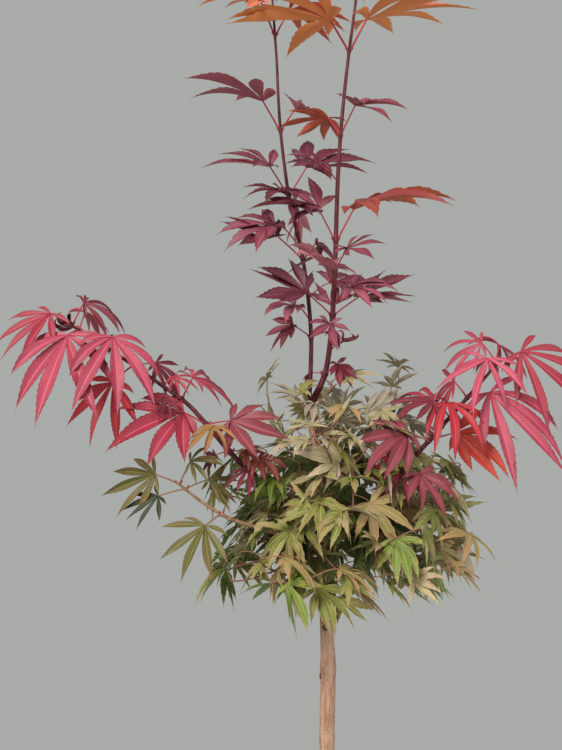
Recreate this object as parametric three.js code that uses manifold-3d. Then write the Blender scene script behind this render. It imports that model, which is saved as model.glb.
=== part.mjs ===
// A young japanese maple grafted on a straight stem, as a nursery grows it: a clear stem with a root flare,
// a low round head of green leaves, two upright leaders and two long red side shoots.
// Millimetres, +Z up. The origin is the centre of the flat cut under the stem, at ground level.
// -Y is the front. Every mass of leaves is a closed, uneven solid, and every limb is one tapering solid.
// Pieces that meet keep a GAP.
import * as THREE from "three";
import { mergeVertices } from "three/addons/utils/BufferGeometryUtils.js";
import Module from "manifold-3d";

const wasm = await Module();
wasm.setup();

// ---- Driving dimensions -------------------------------------------------------------------------
const GAP = 0.3; // clear space where two pieces meet
const HEAD_HEIGHT = 985; // where the boughs leave the stem
const CROWN_CENTRE = new THREE.Vector3(12, 0, 1000);
const LIMB_SIDES = 5;
const SPRAY_SIDES = 4;
const SPRAY_STATIONS = 6; // steps from one leaf tip to the other
const MASS_DETAIL = 1; // subdivisions of the icosahedron behind each crown mass
const UNEVENNESS = 0.3; // how far a mass departs from a plain ellipsoid, as a share of its radius
const SPRAY_HEART = 6; // half width of a spray where its two stalks meet the limb
const SPRAY_TIP = 1.5; // half width of a spray at its leaf tips

const COLOURS = {
  bark: 0xb08a68,
  young_bark: 0x5a1f2a,
  green_bark: 0x6b4a38,
  green_leaf: 0x7b7a45,
  red_leaf: 0xbf3a52,
  purple_leaf: 0x74303f,
};

// ---- Limbs: points along the middle, radius at the foot and at the tip --------------------------
// "across" is a direction that no stretch of the limb runs along, used to set out its section.
const LIMBS = [
  {
    name: "leader_bough",
    colour: "green_bark",
    points: [[-4, 0, 975], [-8, 0, 1005], [-6, -18, 1034], [-7, -18, 1055], [-15, -9, 1090], [-19, 0, 1120]],
    radii: [4.6, 3.4],
  },
  {
    name: "leader_left",
    colour: "young_bark",
    points: [[-19, 0, 1118], [-17, 2, 1163], [-17, 3, 1205], [-21, 5, 1244], [-26, 8, 1280], [-39, 10, 1337],
      [-49, 12, 1415], [-53, 12, 1489], [-57, 12, 1546], [-58, 12, 1560]],
    radii: [2.5, 1.2],
  },
  {
    name: "leader_right",
    colour: "young_bark",
    points: [[-19, 0, 1116], [-9, -2, 1132], [1, -6, 1170], [5, -9, 1212], [8, -12, 1277], [10, -14, 1346],
      [14, -14, 1410], [22, -14, 1486], [30, -13, 1546], [36, -12, 1604]],
    radii: [3.1, 1.2],
  },
  {
    name: "red_left_bough",
    colour: "young_bark",
    points: [[-6, -3, 972], [-28, -22, 1003], [-57, -40, 1034], [-98, -55, 1076], [-135, -60, 1120],
      [-161, -56, 1139], [-217, -50, 1177], [-256, -45, 1201]],
    radii: [3.4, 1.3],
  },
  {
    name: "red_right_bough",
    colour: "young_bark",
    points: [[-3, -3, 970], [20, -26, 1000], [49, -50, 1031], [71, -60, 1060], [103, -65, 1098],
      [134, -60, 1131], [168, -50, 1167]],
    radii: [3.4, 1.4],
  },
  {
    name: "green_left_bough",
    colour: "green_bark",
    points: [[-4, -4, 962], [-42, -36, 990], [-90, -60, 1009], [-114, -65, 1022], [-149, -72, 1050]],
    radii: [3.2, 1.1],
  },
  {
    name: "bough_front",
    colour: "green_bark",
    across: [1, 0, 0],
    points: [[-2, -2, 968], [4, -22, 984], [8, -52, 994], [10, -90, 1000]],
    radii: [3.6, 2.2],
  },
  {
    name: "bough_right",
    colour: "green_bark",
    points: [[0, 0, 975], [26, 4, 986], [60, 8, 996], [100, 10, 1000]],
    radii: [3.8, 2.2],
  },
  {
    name: "bough_back_right",
    colour: "green_bark",
    across: [1, 0, 0],
    points: [[-2, 2, 965], [10, 24, 980], [28, 56, 992], [44, 92, 1000]],
    radii: [3.8, 2.2],
  },
  {
    name: "bough_back_left",
    colour: "green_bark",
    across: [1, 0, 0],
    points: [[-6, 2, 975], [-20, 20, 986], [-42, 50, 996], [-62, 84, 1002]],
    radii: [3.6, 2.2],
  },
];
const BOUGHS_THAT_END_IN_A_MASS = ["bough_front", "bough_right", "bough_back_right", "bough_back_left"];

// ---- The stem: points along the middle, with the radius at each ---------------------------------
const STEM = [
  { at: [0, 0, 0], radius: 15.5 },
  { at: [0, 0, 14], radius: 12.6 },
  { at: [0, 0, 36], radius: 10.4 },
  { at: [0.5, 0, 90], radius: 9.2 },
  { at: [-0.8, 0.6, 200], radius: 8.9 },
  { at: [-1.5, 1, 320], radius: 8.6 },
  { at: [-0.4, 0.2, 460], radius: 8.3 },
  { at: [1, -1, 600], radius: 8.1 },
  { at: [0, 0, 760], radius: 7.8 },
  { at: [1.2, 0, 845], radius: 8.1 },
  { at: [0, 0, 878], radius: 7.0 },
  { at: [0, 0, 908], radius: 7.9 },
  { at: [0.5, 0, 934], radius: 6.9 },
  { at: [-2, 0, 962], radius: 6.8 },
  { at: [-4, 0, HEAD_HEIGHT], radius: 5.6 },
];
const FLARE_HEIGHT = 40; // the foot is lobed up to here
const FLARE_LOBES = 5;
const FLARE_DEPTH = 0.16; // share of the radius
const STEM_SIDES = 10; // two to each lobe of the flare

// ---- Sprays: a pair of leaves that faces each other across a limb -------------------------------
// height: the node's height. turn: degrees from +X towards +Y. reach: how far the leaf's tip stands from the
// limb. rise: how far the leaf arches above the node. tip: the height of its tip over the node. blade: its width.
const leaf = (turn, reach, rise, tip, blade) => ({ turn, reach, rise, tip, blade });
const SPRAYS = {
  leader_left: [
    [1192, leaf(172, 46, 16, -14, 22), leaf(352, 34, 10, -16, 18)],
    [1275, leaf(196, 92, 20, 30, 62), leaf(18, 40, 18, -6, 30)],
    [1303, leaf(262, 62, 24, 2, 92), leaf(84, 70, 24, 0, 80)],
    [1340, leaf(186, 94, 34, 34, 56), leaf(12, 98, 36, 38, 56)],
    [1411, leaf(190, 108, 36, 38, 52), leaf(40, 78, 30, 10, 60)],
    [1514, leaf(205, 84, 38, -8, 78), leaf(28, 86, 36, -4, 78)],
    [1554, leaf(285, 46, 18, 4, 30), leaf(108, 50, 20, 2, 32)],
  ],
  leader_right: [
    [1154, leaf(320, 34, 14, -18, 24), leaf(150, 32, 8, -24, 20)],
    [1196, leaf(80, 38, 20, 62, 56), leaf(262, 48, 14, -22, 50)],
    [1214, leaf(188, 94, 20, 42, 60), leaf(352, 92, 18, 22, 44)],
    [1260, leaf(300, 66, 20, 4, 86), leaf(130, 62, 20, 6, 70)],
    [1288, leaf(354, 132, 44, 34, 62), leaf(170, 92, 40, 40, 58)],
    [1397, leaf(300, 82, 26, -4, 96), leaf(118, 84, 28, 8, 92)],
    [1486, leaf(184, 140, 42, 20, 92), leaf(356, 142, 44, 34, 92)],
    [1568, leaf(262, 92, 34, -4, 84), leaf(86, 92, 34, -6, 84)],
    [1600, leaf(172, 70, 26, -8, 52), leaf(350, 74, 26, -6, 52)],
  ],
  red_left_bough: [
    [1076, leaf(160, 30, 4, -22, 26), leaf(340, 34, 6, -14, 30)],
    [1104, leaf(206, 96, 14, -26, 92), leaf(338, 82, 6, -18, 62)],
    [1128, leaf(52, 72, 24, -10, 60), leaf(236, 34, 8, -24, 36)],
    [1160, leaf(20, 42, 12, -32, 46), leaf(208, 48, 4, -84, 62)],
    [1177, leaf(292, 68, 20, -70, 70), leaf(112, 44, 14, -16, 50)],
    [1196, leaf(260, 78, 6, -94, 84), leaf(84, 54, 22, -10, 60)],
    [1201, leaf(215, 62, 16, -36, 74), leaf(36, 56, 26, -2, 50)],
  ],
  red_right_bough: [
    [1060, leaf(300, 58, 6, -40, 66), leaf(130, 44, 10, -18, 40)],
    [1084, leaf(202, 72, 12, -20, 72), leaf(348, 88, 16, -14, 74)],
    [1100, leaf(282, 58, 28, -30, 74), leaf(128, 60, 32, 12, 60)],
    [1131, leaf(318, 82, 10, -84, 92), leaf(120, 60, 18, -30, 56)],
    [1160, leaf(238, 66, 14, -52, 88), leaf(58, 62, 26, -10, 60)],
    [1166, leaf(334, 78, 14, -62, 92), leaf(152, 56, 20, -10, 50)],
  ],
  green_left_bough: [
    [1016, leaf(236, 66, 4, -54, 70), leaf(52, 50, 20, 4, 50)],
    [1038, leaf(196, 62, 8, -30, 62), leaf(20, 50, 14, -10, 44)],
    [1049, leaf(168, 70, 10, -26, 52), leaf(352, 46, 22, 10, 40)],
  ],
};
const SPRAY_NAMES = {
  leader_left: "leader_left_leaves",
  leader_right: "leader_right_leaves",
  red_left_bough: "red_left_leaves",
  red_right_bough: "red_right_leaves",
  green_left_bough: "green_left_leaves",
};
const SPRAY_COLOURS = {
  leader_left: "purple_leaf",
  leader_right: "purple_leaf",
  red_left_bough: "red_leaf",
  red_right_bough: "red_leaf",
  green_left_bough: "green_leaf",
};

// ---- Crown masses: three rings round the head ---------------------------------------------------
// turn: degrees from +X towards +Y. out and up: from the crown's middle. size: half sizes.
const RINGS = [
  {
    name: "crown_low",
    out: 86,
    up: -44,
    size: [62, 60, 33],
    masses: [
      { name: "front", turn: 264, out: 78, up: -50 },
      { name: "front_right", turn: 318, out: 98, up: -38 },
      { name: "back_right", turn: 20, out: 94 },
      { name: "back", turn: 84, out: 104 },
      { name: "back_left", turn: 145 },
      { name: "front_left", turn: 208, out: 82, up: -40 },
    ],
  },
  {
    name: "crown_mid",
    out: 84,
    up: 12,
    size: [62, 60, 38],
    masses: [
      { name: "front", turn: 278, out: 80 },
      { name: "right", turn: 350, out: 96 },
      { name: "back_right", turn: 62, out: 104 },
      { name: "back_left", turn: 134, out: 98 },
      { name: "left", turn: 198, out: 80 },
    ],
  },
  {
    name: "crown_top",
    out: 52,
    up: 70,
    size: [58, 56, 38],
    masses: [
      { name: "front_left", turn: 232, out: 46 },
      { name: "right", turn: 332, out: 60 },
      { name: "back", turn: 92, out: 58 },
    ],
  },
  {
    name: "crown_sprig",
    up: 130,
    size: [33, 30, 36],
    masses: [
      { name: "right", turn: 350, out: 54 },
      { name: "left", turn: 174, out: 56, up: 122 },
    ],
  },
];

// ---- Shapes -------------------------------------------------------------------------------------
const Z = new THREE.Vector3(0, 0, 1);
const vector = (point) => new THREE.Vector3(...point);
const curveThrough = (points) => new THREE.CatmullRomCurve3(points.map(vector), false, "centripetal");

// A cylinder bent along a curve, with a ring at each of the stations, from 0 at the foot to 1 at the tip.
// section(t, angle) gives the half sizes of the ring at t, across and over.
function bent(curve, sides, stations, across, section) {
  const steps = stations.length - 1;
  const geometry = new THREE.CylinderGeometry(1, 1, 1, sides, steps);
  const position = geometry.getAttribute("position");
  for (let i = 0; i < position.count; i++) {
    const t = stations[Math.round((position.getY(i) + 0.5) * steps)];
    const x = position.getX(i);
    const z = position.getZ(i);
    const along = curve.getTangentAt(t);
    const side = across.clone().addScaledVector(along, -across.dot(along)).normalize();
    const over = side.clone().cross(along);
    const [width, thickness] = section(t, Math.atan2(z, x));
    const point = curve.getPointAt(t).addScaledVector(side, x * width).addScaledVector(over, z * thickness);
    position.setXYZ(i, point.x, point.y, point.z);
  }
  return geometry;
}

const evenly = (steps) => Array.from({ length: steps + 1 }, (_, i) => i / steps);

// One tapering limb. extra widens it, for the space that a piece beside it leaves free.
function limbGeometry({ points, radii, across = [0, 1, 0] }, extra = 0) {
  const [foot, tip] = radii;
  const radiusAt = (t) => THREE.MathUtils.lerp(foot, tip, t) + extra;
  const steps = Math.max(5, Math.round(points.length * 1.2));
  const section = (t) => [radiusAt(t), radiusAt(t)];
  return bent(curveThrough(points), LIMB_SIDES, evenly(steps), vector(across), section);
}

// The stem, with a lobed flare at its foot and a swelling at the graft. It has a ring at each of its points.
function stemGeometry(extra = 0) {
  const curve = curveThrough(STEM.map((ring) => ring.at));
  const last = STEM.length - 1;
  const byPoints = { getPointAt: (t) => curve.getPoint(t), getTangentAt: (t) => curve.getTangent(t) };
  return bent(byPoints, STEM_SIDES, evenly(last), new THREE.Vector3(1, 0, 0), (t, angle) => {
    const ring = STEM[Math.round(t * last)];
    const lobed = 1 - THREE.MathUtils.smoothstep(ring.at[2], 0, FLARE_HEIGHT);
    const radius = ring.radius * (1 + FLARE_DEPTH * lobed * Math.cos(FLARE_LOBES * angle)) + extra;
    return [radius, radius];
  });
}

// The point where a rising curve passes a height.
function pointAtHeight(curve, height) {
  let [low, high] = [0, 1];
  for (let i = 0; i < 30; i++) {
    const middle = (low + high) / 2;
    if (curve.getPointAt(middle).z < height) low = middle;
    else high = middle;
  }
  return curve.getPointAt(low);
}

// A point of one leaf's arch: u runs from the limb, 0, to the leaf's tip, 1.
function leafArch(node, { turn, reach, rise, tip }, u) {
  const angle = THREE.MathUtils.degToRad(turn);
  const height = rise * Math.sin(Math.PI * u ** 0.66) + tip * u ** 2;
  return new THREE.Vector3(Math.cos(angle) * reach * u, Math.sin(angle) * reach * u, height).add(node);
}

// The envelope of two facing leaves: it arches from one leaf's tip over the limb to the other leaf's tip.
function sprayGeometry(node, first, second, extra = 0) {
  const arch = [];
  for (const u of [1, 0.75, 0.5, 0.25]) arch.push(leafArch(node, first, u));
  arch.push(node.clone());
  for (const u of [0.25, 0.5, 0.75, 1]) arch.push(leafArch(node, second, u));
  const curve = new THREE.CatmullRomCurve3(arch, false, "centripetal");
  const nodeAt = 0.5; // the curve is read by its points, so the node is halfway
  const byPoints = { getPointAt: (t) => curve.getPoint(t), getTangentAt: (t) => curve.getTangent(t) };
  const span = leafArch(node, second, 1).sub(leafArch(node, first, 1)).setZ(0).normalize();
  const across = Z.clone().cross(span);
  return bent(byPoints, SPRAY_SIDES, evenly(SPRAY_STATIONS), across, (t) => {
    const side = t < nodeAt ? first : second;
    const u = Math.abs(t - nodeAt) / nodeAt;
    const full = Math.sin(Math.PI * Math.min(1, u) ** 0.9) ** 0.8;
    const least = THREE.MathUtils.lerp(SPRAY_HEART, SPRAY_TIP, u);
    return [Math.max(least, (side.blade / 2) * full) + extra, least + side.blade * 0.08 * full + extra];
  });
}

// A small seeded generator, so that each mass is uneven in its own way and the same on every run.
function seeded(seed) {
  let state = seed >>> 0;
  return () => {
    state = (state + 0x6d2b79f5) >>> 0;
    let t = Math.imul(state ^ (state >>> 15), 1 | state);
    t = (t + Math.imul(t ^ (t >>> 7), 61 | t)) ^ t;
    return ((t ^ (t >>> 14)) >>> 0) / 4294967296;
  };
}

// A lumpy ellipsoid of foliage.
function massGeometry({ centre, size, seed }, extra = 0) {
  const random = seeded(seed);
  const waves = [2.2, 3.1, 4.3].map((pitch) => ({
    way: new THREE.Vector3(random() - 0.5, random() - 0.5, random() - 0.5).normalize().multiplyScalar(pitch),
    phase: random() * Math.PI * 2,
  }));
  const geometry = new THREE.IcosahedronGeometry(1, MASS_DETAIL);
  const position = geometry.getAttribute("position");
  for (let i = 0; i < position.count; i++) {
    const way = new THREE.Vector3().fromBufferAttribute(position, i);
    const lump = waves.reduce((sum, wave) => sum + Math.sin(way.dot(wave.way) * 1.6 + wave.phase), 0);
    const grown = 1 + (UNEVENNESS * lump) / waves.length;
    const point = new THREE.Vector3(...size).addScalar(extra).multiply(way).multiplyScalar(grown).add(centre);
    position.setXYZ(i, point.x, point.y, point.z);
  }
  return geometry;
}

// ---- Solids -------------------------------------------------------------------------------------
function toSolid(geometry) {
  const bare = geometry.clone();
  bare.deleteAttribute("normal");
  bare.deleteAttribute("uv");
  const merged = mergeVertices(bare, 1e-3);
  return new wasm.Manifold(
    new wasm.Mesh({
      numProp: 3,
      vertProperties: new Float32Array(merged.getAttribute("position").array),
      triVerts: new Uint32Array(merged.index.array),
    }),
  );
}

function toGeometry(solid) {
  const mesh = solid.getMesh();
  const geometry = new THREE.BufferGeometry();
  geometry.setAttribute("position", new THREE.BufferAttribute(new Float32Array(mesh.vertProperties), 3));
  geometry.setIndex(new THREE.BufferAttribute(new Uint32Array(mesh.triVerts), 1));
  geometry.computeVertexNormals();
  return geometry;
}

const apart = (a, b) => {
  const [p, q] = [a.boundingBox(), b.boundingBox()];
  return [0, 1, 2].some((k) => p.max[k] < q.min[k] || q.max[k] < p.min[k]);
};

// The solid with every cutter's space taken out. What a cut leaves loose is dropped.
function cutBy(solid, cutters) {
  let left = solid;
  for (const cutter of cutters) if (!apart(left, cutter)) left = left.subtract(cutter);
  return left.decompose().sort((a, b) => b.volume() - a.volume())[0];
}

// ---- Assembly -----------------------------------------------------------------------------------
const part = new THREE.Group();
part.name = "japanese_maple_tree";

function addMesh(name, solid, colour) {
  const material = new THREE.MeshStandardMaterial({ color: COLOURS[colour], roughness: 0.7, metalness: 0 });
  const mesh = new THREE.Mesh(toGeometry(solid), material);
  mesh.name = name;
  part.add(mesh);
}

// The masses, in the order in which they give way to each other: a later one is cut by those before it.
function crownMasses() {
  const masses = [];
  let seed = 11;
  for (const ring of RINGS)
    for (const one of ring.masses) {
      const angle = THREE.MathUtils.degToRad(one.turn);
      const out = one.out ?? ring.out;
      const up = one.up ?? ring.up;
      const centre = new THREE.Vector3(Math.cos(angle) * out, Math.sin(angle) * out, up).add(CROWN_CENTRE);
      masses.push({ name: `${ring.name}_${one.name}`, centre, size: ring.size, seed: seed++ });
    }
  return masses;
}

const limbSpace = [toSolid(stemGeometry(GAP))];
const massSpace = [];

addMesh("stem", toSolid(stemGeometry()), "bark");

const through = LIMBS.filter((limb) => !BOUGHS_THAT_END_IN_A_MASS.includes(limb.name));
for (const limb of through) {
  addMesh(limb.name, cutBy(toSolid(limbGeometry(limb)), limbSpace), limb.colour);
  limbSpace.push(toSolid(limbGeometry(limb, GAP)));
}

// The sprays nearest a limb's tip come first, so those below give way to them.
for (const [limbName, pairs] of Object.entries(SPRAYS)) {
  const curve = curveThrough(LIMBS.find((limb) => limb.name === limbName).points);
  for (let i = pairs.length - 1; i >= 0; i--) {
    const [height, first, second] = pairs[i];
    const node = pointAtHeight(curve, height);
    const solid = cutBy(toSolid(sprayGeometry(node, first, second)), [...limbSpace, ...massSpace]);
    addMesh(`${SPRAY_NAMES[limbName]}_${i + 1}`, solid, SPRAY_COLOURS[limbName]);
    massSpace.push(toSolid(sprayGeometry(node, first, second, GAP)));
  }
}

for (const mass of crownMasses()) {
  const solid = cutBy(toSolid(massGeometry(mass)), [...limbSpace, ...massSpace]);
  addMesh(mass.name, solid, "green_leaf");
  massSpace.push(toSolid(massGeometry(mass, GAP)));
}

for (const name of BOUGHS_THAT_END_IN_A_MASS) {
  const limb = LIMBS.find((one) => one.name === name);
  addMesh(name, cutBy(toSolid(limbGeometry(limb)), [...limbSpace, ...massSpace]), limb.colour);
  limbSpace.push(toSolid(limbGeometry(limb, GAP)));
}

export default part;
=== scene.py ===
# %% [markdown]
# # A young japanese maple, grown leaf by leaf
# The tree is a nursery standard: a slim stem with a head grafted on top, two upright leaders and two
# long red shoots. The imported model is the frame. Its limbs say where the wood is, and its masses say
# where the leaves reach. Each mass is then replaced by twigs, stalks and leaves that grow on from the
# limbs by rules with fixed seeds.

# %% Load the frame
import math
import bpy
import numpy as np
from mathutils.bvhtree import BVHTree
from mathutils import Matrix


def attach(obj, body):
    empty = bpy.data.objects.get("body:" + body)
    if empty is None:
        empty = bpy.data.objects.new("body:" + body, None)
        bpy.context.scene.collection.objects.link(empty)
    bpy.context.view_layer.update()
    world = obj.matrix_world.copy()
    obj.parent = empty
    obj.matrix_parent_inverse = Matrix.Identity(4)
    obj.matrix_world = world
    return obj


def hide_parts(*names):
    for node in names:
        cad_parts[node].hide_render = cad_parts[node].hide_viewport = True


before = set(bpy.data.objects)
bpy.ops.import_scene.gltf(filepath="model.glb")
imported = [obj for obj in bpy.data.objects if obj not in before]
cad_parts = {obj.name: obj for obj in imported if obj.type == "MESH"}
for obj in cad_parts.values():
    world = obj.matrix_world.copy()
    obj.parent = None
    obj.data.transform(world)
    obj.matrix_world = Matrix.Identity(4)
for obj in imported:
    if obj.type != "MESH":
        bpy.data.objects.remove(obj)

for name in ("Cube", "Light", "Camera"):
    if name in bpy.data.objects:
        bpy.data.objects.remove(bpy.data.objects[name])
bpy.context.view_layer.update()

# %% [markdown]
# ## Camera, light and floor
# The camera stands level with the middle of the crown, close to the tree. The light is a soft grey sky
# with one large lamp to the upper left and a weak one to the right, so that leaves get a lit side and a
# shaded side. A lamp could be turned by hand, but a short formula that turns it to a point is easier to
# move about.

# %% Camera and lamps
def stand(name, data):
    """A new object of the scene that shows this data."""
    made = bpy.data.objects.new(name, data)
    bpy.context.scene.collection.objects.link(made)
    return made


def add_lamp(name, place, target, size, power, colour):
    """A round lamp at a place, turned towards its target."""
    lamp = bpy.data.lights.new(name, "AREA")
    lamp.shape, lamp.size, lamp.energy, lamp.color = "DISK", size, power, colour
    made = stand(name, lamp)
    made.location = place
    way = np.array(target) - np.array(made.location)
    flat = math.hypot(way[0], way[1])
    made.rotation_euler = (math.atan2(flat, -way[2]), 0, math.atan2(-way[0], way[1]))


EYE = (-0.0483, -0.811, 1.152)
LENS, SENSOR = 37.06, 36  # millimetres
SKY = (0.395, 0.412, 0.392, 1)
camera = stand("camera", bpy.data.cameras.new("camera"))
camera.location = EYE
camera.rotation_euler = (math.radians(90), 0, 0)  # level, looking along +Y
camera.data.lens, camera.data.sensor_width = LENS, SENSOR
camera.data.clip_start = 0.01
bpy.context.scene.camera = camera

world = bpy.data.worlds.new("grey_sky")
bpy.context.scene.world = world
world.use_nodes = True
world.node_tree.nodes["Background"].inputs["Color"].default_value = SKY
world.node_tree.nodes["Background"].inputs["Strength"].default_value = 1.0
add_lamp("key", place=(-1.1, -1.9, 2.9), target=(0, 0, 1.15), size=1.4, power=84, colour=(1, 0.985, 0.95))
add_lamp("fill", place=(1.7, -1.3, 1.5), target=(0, 0, 1.1), size=1.2, power=14, colour=(0.95, 0.98, 1))
bpy.context.scene.view_settings.view_transform = "Standard"
print("stage: camera at", EYE, "lens", LENS, "mm")

# %% [markdown]
# ## Finishes
# Bark, stalks and leaves are all matt, with a grain too fine to model. One helper gives every finish
# its colour and a noise that roughens it. Noise on Object coordinates stays put on a piece, whatever
# its shape.

# %% Helpers for node trees
def add_node(tree, kind, **inputs):
    """A new node of a tree. Each input is given by its name, with _ for a space."""
    node = tree.nodes.new(kind)
    for name, value in inputs.items():
        node.inputs[name.replace("_", " ")].default_value = value
    return node


def join(tree, *links):
    """Links nodes of a tree. Each link gives a node, its output, the node that takes it and its input."""
    for giver, output, taker, entry in links:
        tree.links.new(giver.outputs[output], taker.inputs[entry])


def linear(*srgb):
    """A colour given as it looks on screen, 0 to 255, as the shader wants it."""
    share = [c / 255 for c in srgb]
    return tuple(c / 12.92 if c <= 0.04045 else ((c + 0.055) / 1.055) ** 2.4 for c in share) + (1,)


print("mid grey 128 reaches the shader as", round(linear(128)[0], 3))

# %% A matt finish
RELIEF_DEPTH = 0.0006  # of the grain, in metres
SMOOTHER, ROUGHER = 0.1, 0.12  # how far the grain takes the roughness down and up


def finish(name, colour, roughness, grain, relief, specular=0.4):
    """A matt finish of one plain colour, with a fine grain in its roughness and in its relief."""
    material = bpy.data.materials.new(name)
    material.use_nodes = True
    tree = material.node_tree
    shader = tree.nodes["Principled BSDF"]
    shader.inputs["Base Color"].default_value = linear(*colour)
    shader.inputs["Specular IOR Level"].default_value = specular
    place = add_node(tree, "ShaderNodeTexCoord")
    noise = add_node(tree, "ShaderNodeTexNoise", Scale=grain, Detail=3)
    spread = add_node(tree, "ShaderNodeMapRange", To_Min=roughness - SMOOTHER, To_Max=roughness + ROUGHER)
    bump = add_node(tree, "ShaderNodeBump", Strength=relief, Distance=RELIEF_DEPTH)
    join(tree, (place, "Object", noise, "Vector"), (noise, "Fac", spread, "Value"),
         (spread, "Result", shader, "Roughness"), (noise, "Fac", bump, "Height"),
         (bump, "Normal", shader, "Normal"))
    return material


FLOOR_FINISH = finish("pale_floor", (196, 196, 192), roughness=0.8, grain=60, relief=0.05)
print("floor finish:", len(FLOOR_FINISH.node_tree.nodes), "nodes")

# %% Floor
FLOOR_RADIUS, FLOOR_SIDES = 1.15, 96


def circle(sides):
    """The angles of a circle's corners."""
    return np.linspace(0, 2 * math.pi, sides, endpoint=False)


def mesh_object(name, points, faces, materials, bands=None):
    """A smooth shaded object. bands says which of its materials each face takes."""
    mesh = bpy.data.meshes.new(name)
    mesh.from_pydata(np.asarray(points).tolist(), [], faces)
    for material in materials:
        mesh.materials.append(material)
    if bands is not None:
        mesh.polygons.foreach_set("material_index", bands)
    mesh.polygons.foreach_set("use_smooth", [True] * len(mesh.polygons))
    mesh.validate()
    return stand(name, mesh)


rim = [(FLOOR_RADIUS * math.cos(a), FLOOR_RADIUS * math.sin(a), 0.0) for a in circle(FLOOR_SIDES)]
floor = mesh_object("floor", rim, [tuple(range(FLOOR_SIDES))], [FLOOR_FINISH])
print("floor:", len(rim), "corners")

# %% [markdown]
# ## Reading the limbs
# A limb in the frame is a tapering solid made of rings. Sorted from foot to tip, its corners fall into
# those rings. The middle of each ring gives a point of the limb's middle line, and its spread gives the
# radius there. The lines could be typed in again, but then the wood would no longer follow the frame.

# %% Rings of a limb
HEAD = np.array([-0.003, 0.0, 0.972])  # where the boughs part
RING_GAP = 0.004  # rings lie further apart than this along the limb
RING_CORNERS = 4  # fewer corners than this are no ring


def unit(v):
    """The same direction, one long."""
    return v / max(np.linalg.norm(v), 1e-12)


def corners(node):
    """The corners of a node of the frame, each once."""
    return np.unique(np.round([v.co[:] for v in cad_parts[node].data.vertices], 6), axis=0)


def smooth(points, steps=8):
    """A smooth curve through the points, whatever their columns are."""
    ends = np.vstack([2 * points[0] - points[1], points, 2 * points[-1] - points[-2]])
    t = np.linspace(0, 1, steps, endpoint=False)[:, None]
    parts = [0.5 * (2 * b + (c - a) * t + (2 * a - 5 * b + 4 * c - d) * t**2 + (3 * b - a - 3 * c + d) * t**3)
             for a, b, c, d in zip(ends, ends[1:], ends[2:], ends[3:])]
    return np.vstack(parts + [points[-1:]])


def limb_line(node):
    """Rows of x, y, z and radius along a limb, from its end at the head to its other end."""
    points = corners(node)
    reach = np.linalg.norm(points - HEAD, axis=1)
    along = points @ unit(points[reach.argmax()] - points[reach.argmin()])
    order = along.argsort()
    groups = np.split(order, np.flatnonzero(np.diff(along[order]) > RING_GAP) + 1)
    rings = []
    for ring in (points[group] for group in groups if len(group) >= RING_CORNERS):
        middle = ring.mean(0)
        rings.append([*middle, np.linalg.norm(ring - middle, axis=1).mean()])
    return smooth(np.array(rings))


# %% Middle lines of the limbs
LEADERS = ("leader_left", "leader_right")
LONG_SHOOTS = ("red_left_bough", "red_right_bough")
LIMB_NAMES = [n for n in sorted(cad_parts) if n in ("stem", *LEADERS) or "bough" in n]
LIMBS = {name: limb_line(name) for name in LIMB_NAMES}
LIMBS["stem"] = LIMBS["stem"][::-1]  # the stem grows towards the head
for name, line in LIMBS.items():
    print(name, "foot", np.round(line[0] * 1000, 1), "tip", np.round(line[-1] * 1000, 1), "rows", len(line))

# %% [markdown]
# ## Reading the sprays
# The leaders and the long shoots carry leaves in facing pairs, and the frame holds each pair as one
# solid, a spray. Its corners next to the limb show the node where the pair sits. Those furthest out, on
# one side and on the other, show where the two leaves point, how far they reach, how high they climb
# and where their tips end.

# %% Where the leaves are
TINY = 1e-6  # keeps a division by a length safe
AT_NODE = 0.0025  # corners this near to the wood lie at the node
OFF_WOOD = 0.007  # a leaf's own corners lie further out than this
FACING = 0.3  # cosine from which a corner counts as lying in a leaf's direction
TIP_FROM = 0.93  # share of a leaf's reach from which its corners are its tip
FLANK = (0.25, 0.8)  # shares of the reach between which its edges show how it arches
USUAL_RISE = 0.015  # of a leaf whose edges have no corners there
ARCH_POWER = 0.66  # below 1, an arch is highest before its half


def read_leaf(points, heart, way):
    """The reach, the height of the tip and the rise of the leaf that points one way from a node."""
    flat = points[:, :2] - heart[:2]
    out = np.linalg.norm(flat, axis=1)
    mine = points[((flat @ way) / np.maximum(out, TINY) > FACING) & (out > OFF_WOOD)] - heart
    along = mine[:, :2] @ way
    across = mine[:, 0] * way[1] - mine[:, 1] * way[0]
    reach = along.max()
    tip = mine[along > TIP_FROM * reach, 2].mean()
    u = along / reach
    flank = (np.abs(across) > np.abs(across).max() / 2) & (u > FLANK[0]) & (u < FLANK[1])
    rises = (mine[:, 2] - tip * u**2)[flank] / np.sin(math.pi * u[flank] ** ARCH_POWER)
    sides = [rises[side] for side in (across[flank] > 0, across[flank] < 0) if side.any()]
    rise = np.mean([np.median(side) for side in sides]) if sides else USUAL_RISE
    return {"way": way, "reach": reach, "tip": tip, "rise": rise}


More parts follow.
